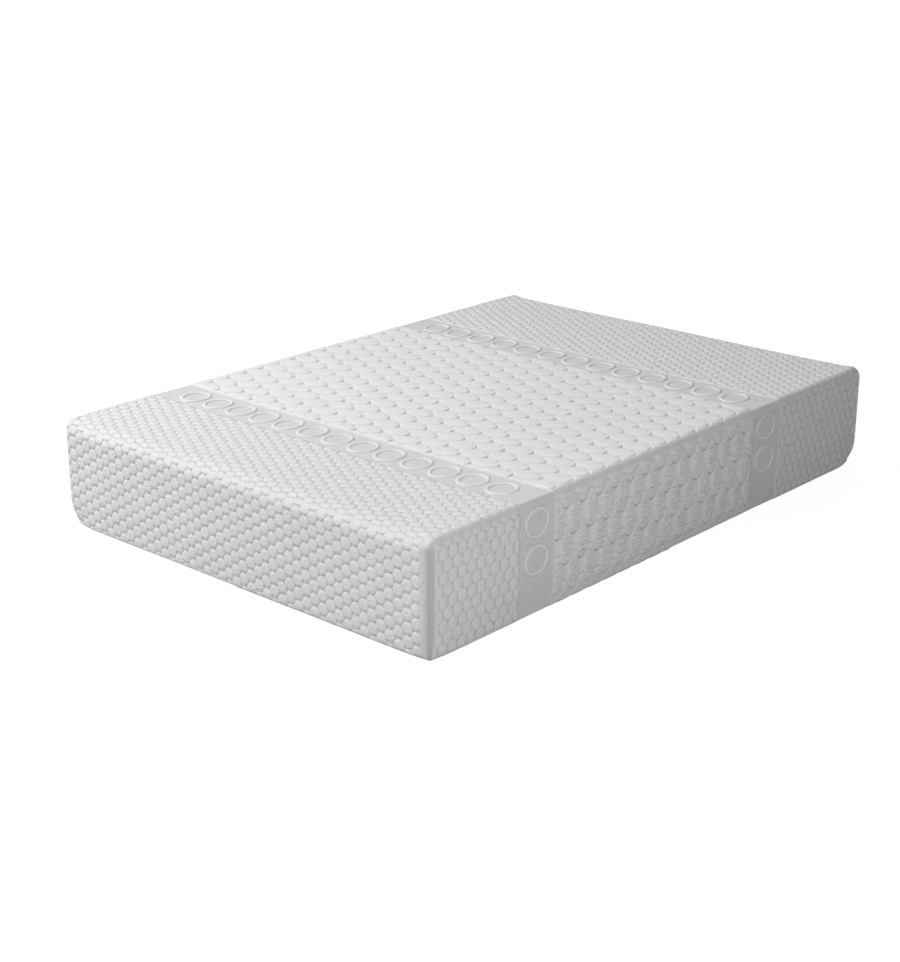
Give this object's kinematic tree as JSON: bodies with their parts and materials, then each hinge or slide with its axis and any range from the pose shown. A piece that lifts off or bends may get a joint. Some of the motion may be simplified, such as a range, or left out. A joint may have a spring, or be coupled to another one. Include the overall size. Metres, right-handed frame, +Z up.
{
  "type": "memory foam mattress",
  "caption": "Double memory foam mattress: foam layers in a sock inside a zip-off white knitted cover with bubble and hexagon relief and two mesh bands.",
  "frame": {"origin": "middle of the underside, on the surface that the mattress lies on", "axes": "+X along the bed's length towards the head end, +Y across it towards the zipped side, +Z up out of the sleeping face"},
  "size_m": [1.9012, 1.3541, 0.3],
  "materials": {
    "cover_knit": "matte",
    "base_fabric": "matte",
    "seam_thread": "matte",
    "memory_foam": "matte",
    "transition_foam": "matte",
    "base_foam": "matte",
    "adhesive": "satin",
    "sock_knit": "matte",
    "sock_thread": "matte",
    "zip_tape": "matte",
    "zip_coil": "satin",
    "zip_metal": "satin",
    "label_satin": "satin"
  },
  "bodies": {
    "mattress": {"memory_foam_layer": "memory_foam", "transition_foam_layer": "transition_foam", "base_foam_layer": "base_foam", "adhesive_upper": "adhesive", "adhesive_lower": "adhesive", "inner_sock": "sock_knit", "inner_sock_base": "sock_knit", "inner_sock_seam": "sock_thread", "cover_top": "cover_knit", "base_panel": "base_fabric", "base_seam": "seam_thread", "corner_seam_foot_left": "seam_thread", "corner_seam_foot_right": "seam_thread", "corner_seam_head_left": "seam_thread", "corner_seam_head_right": "seam_thread", "zip_tape_upper": "zip_tape", "zip_tape_lower": "zip_tape", "zip_coil_upper": "zip_coil", "zip_coil_lower": "zip_coil", "zip_end_stops": "zip_coil", "zip_end_tabs": "zip_tape", "zip_stitching_upper": "seam_thread", "zip_stitching_lower": "seam_thread", "care_label": "label_satin", "care_label_stitching": "seam_thread"},
    "zip_slider": {"zip_slider": "zip_metal"},
    "zip_puller": {"zip_puller": "zip_metal"}
  },
  "joints": [
    {"name": "zip_travel", "type": "slide", "parent": "mattress", "child": "zip_slider", "axis": [1, 0, 0], "range_m": [0, 1.77]},
    {"name": "puller_swing", "type": "hinge", "parent": "zip_slider", "child": "zip_puller", "pos_m": [-0.8785, 0.6773, 0.0245], "axis": [0, 0, 1], "range_deg": [0, 175]}
  ]
}
